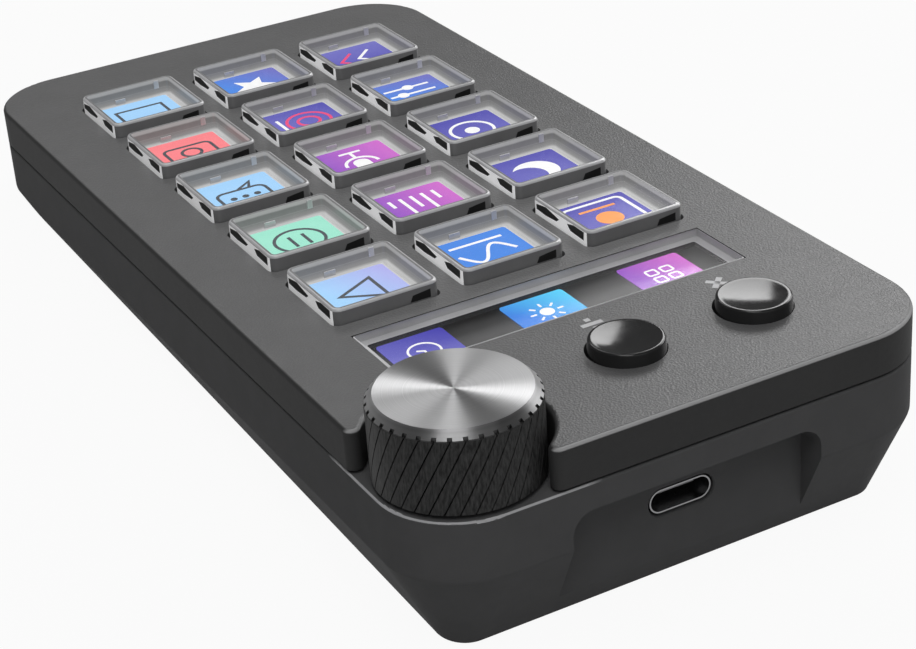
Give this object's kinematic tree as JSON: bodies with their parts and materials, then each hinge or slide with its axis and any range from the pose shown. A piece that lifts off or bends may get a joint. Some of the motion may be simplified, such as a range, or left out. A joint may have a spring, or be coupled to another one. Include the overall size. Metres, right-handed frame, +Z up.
{
  "type": "stream controller",
  "caption": "Wedge-shaped desk controller with clear display keys, a display strip, round push buttons and a knurled push knob with a metal top.",
  "frame": {"origin": "on the desk, under the middle of the case's box", "axes": "+X to the user's right, +Y to the rear where the USB socket is, +Z up from the desk"},
  "size_m": [0.075, 0.1506, 0.0328],
  "materials": {
    "cover_plastic": "fine leather-like moulded texture",
    "case_plastic": "smooth satin",
    "clear_plastic": "clear, polished",
    "display_glass": "lit colour display",
    "button_plastic": "polished black",
    "knob_black": "knurled satin black",
    "knob_metal": "spun",
    "steel": "plated",
    "black_plastic": "moulded",
    "circuit_board": "solder mask",
    "silicone": "soft moulded",
    "rubber": "moulded"
  },
  "bodies": {
    "case": {"top_cover": "cover_plastic", "bottom_case": "case_plastic", "rubber_feet": "rubber", "key_displays": "display_glass", "display_holders": "black_plastic", "silicone_mat": "silicone", "key_board": "circuit_board", "board_screws": "steel", "strip_window": "clear_plastic", "strip_display": "display_glass", "strip_holder": "black_plastic", "button_switches": "black_plastic", "encoder_body": "black_plastic", "encoder_washer": "steel", "encoder_nut": "steel", "main_board": "circuit_board", "main_board_screws": "steel", "processor": "black_plastic", "link_plug": "black_plastic", "link_socket": "black_plastic", "usb_shell": "steel", "usb_tongue": "black_plastic", "case_screws": "steel"},
    "row1_left_key": {"keycap_row1_left": "clear_plastic"},
    "row1_middle_key": {"keycap_row1_middle": "clear_plastic"},
    "row1_right_key": {"keycap_row1_right": "clear_plastic"},
    "row2_left_key": {"keycap_row2_left": "clear_plastic"},
    "row2_middle_key": {"keycap_row2_middle": "clear_plastic"},
    "row2_right_key": {"keycap_row2_right": "clear_plastic"},
    "row3_left_key": {"keycap_row3_left": "clear_plastic"},
    "row3_middle_key": {"keycap_row3_middle": "clear_plastic"},
    "row3_right_key": {"keycap_row3_right": "clear_plastic"},
    "row4_left_key": {"keycap_row4_left": "clear_plastic"},
    "row4_middle_key": {"keycap_row4_middle": "clear_plastic"},
    "row4_right_key": {"keycap_row4_right": "clear_plastic"},
    "row5_left_key": {"keycap_row5_left": "clear_plastic"},
    "row5_middle_key": {"keycap_row5_middle": "clear_plastic"},
    "row5_right_key": {"keycap_row5_right": "clear_plastic"},
    "left_push_button": {"left_button": "button_plastic", "left_switch_plunger": "black_plastic"},
    "centre_push_button": {"centre_button": "button_plastic", "centre_switch_plunger": "black_plastic"},
    "knob_push": {"encoder_plunger": "black_plastic"},
    "knob": {"knob_body": "knob_black", "knob_disc": "knob_metal", "encoder_shaft": "steel"}
  },
  "joints": [
    {"name": "row1_left_press", "type": "slide", "parent": "case", "child": "row1_left_key", "axis": [0, -0.0958, 0.9954], "range_m": [-0.0012, 0], "stiffness_N_per_m": 250, "springref_m": 0.0006},
    {"name": "row1_middle_press", "type": "slide", "parent": "case", "child": "row1_middle_key", "axis": [0, -0.0958, 0.9954], "range_m": [-0.0012, 0], "stiffness_N_per_m": 250, "springref_m": 0.0006},
    {"name": "row1_right_press", "type": "slide", "parent": "case", "child": "row1_right_key", "axis": [0, -0.0958, 0.9954], "range_m": [-0.0012, 0], "stiffness_N_per_m": 250, "springref_m": 0.0006},
    {"name": "row2_left_press", "type": "slide", "parent": "case", "child": "row2_left_key", "axis": [0, -0.0958, 0.9954], "range_m": [-0.0012, 0], "stiffness_N_per_m": 250, "springref_m": 0.0006},
    {"name": "row2_middle_press", "type": "slide", "parent": "case", "child": "row2_middle_key", "axis": [0, -0.0958, 0.9954], "range_m": [-0.0012, 0], "stiffness_N_per_m": 250, "springref_m": 0.0006},
    {"name": "row2_right_press", "type": "slide", "parent": "case", "child": "row2_right_key", "axis": [0, -0.0958, 0.9954], "range_m": [-0.0012, 0], "stiffness_N_per_m": 250, "springref_m": 0.0006},
    {"name": "row3_left_press", "type": "slide", "parent": "case", "child": "row3_left_key", "axis": [0, -0.0958, 0.9954], "range_m": [-0.0012, 0], "stiffness_N_per_m": 250, "springref_m": 0.0006},
    {"name": "row3_middle_press", "type": "slide", "parent": "case", "child": "row3_middle_key", "axis": [0, -0.0958, 0.9954], "range_m": [-0.0012, 0], "stiffness_N_per_m": 250, "springref_m": 0.0006},
    {"name": "row3_right_press", "type": "slide", "parent": "case", "child": "row3_right_key", "axis": [0, -0.0958, 0.9954], "range_m": [-0.0012, 0], "stiffness_N_per_m": 250, "springref_m": 0.0006},
    {"name": "row4_left_press", "type": "slide", "parent": "case", "child": "row4_left_key", "axis": [0, -0.0958, 0.9954], "range_m": [-0.0012, 0], "stiffness_N_per_m": 250, "springref_m": 0.0006},
    {"name": "row4_middle_press", "type": "slide", "parent": "case", "child": "row4_middle_key", "axis": [0, -0.0958, 0.9954], "range_m": [-0.0012, 0], "stiffness_N_per_m": 250, "springref_m": 0.0006},
    {"name": "row4_right_press", "type": "slide", "parent": "case", "child": "row4_right_key", "axis": [0, -0.0958, 0.9954], "range_m": [-0.0012, 0], "stiffness_N_per_m": 250, "springref_m": 0.0006},
    {"name": "row5_left_press", "type": "slide", "parent": "case", "child": "row5_left_key", "axis": [0, -0.0958, 0.9954], "range_m": [-0.0012, 0], "stiffness_N_per_m": 250, "springref_m": 0.0006},
    {"name": "row5_middle_press", "type": "slide", "parent": "case", "child": "row5_middle_key", "axis": [0, -0.0958, 0.9954], "range_m": [-0.0012, 0], "stiffness_N_per_m": 250, "springref_m": 0.0006},
    {"name": "row5_right_press", "type": "slide", "parent": "case", "child": "row5_right_key", "axis": [0, -0.0958, 0.9954], "range_m": [-0.0012, 0], "stiffness_N_per_m": 250, "springref_m": 0.0006},
    {"name": "left_button_press", "type": "slide", "parent": "case", "child": "left_push_button", "axis": [0, -0.0958, 0.9954], "range_m": [-0.0005, 0], "stiffness_N_per_m": 1500, "springref_m": 0.0003},
    {"name": "centre_button_press", "type": "slide", "parent": "case", "child": "centre_push_button", "axis": [0, -0.0958, 0.9954], "range_m": [-0.0005, 0], "stiffness_N_per_m": 1500, "springref_m": 0.0003},
    {"name": "knob_press", "type": "slide", "parent": "case", "child": "knob_push", "axis": [0, -0.0958, 0.9954], "range_m": [-0.0005, 0], "stiffness_N_per_m": 4000, "springref_m": 0.0003},
    {"name": "knob_turn", "type": "hinge", "parent": "knob_push", "child": "knob", "pos_m": [0.0265, 0.06302, 0.02646], "axis": [0, -0.0958, 0.9954], "continuous": true}
  ]
}
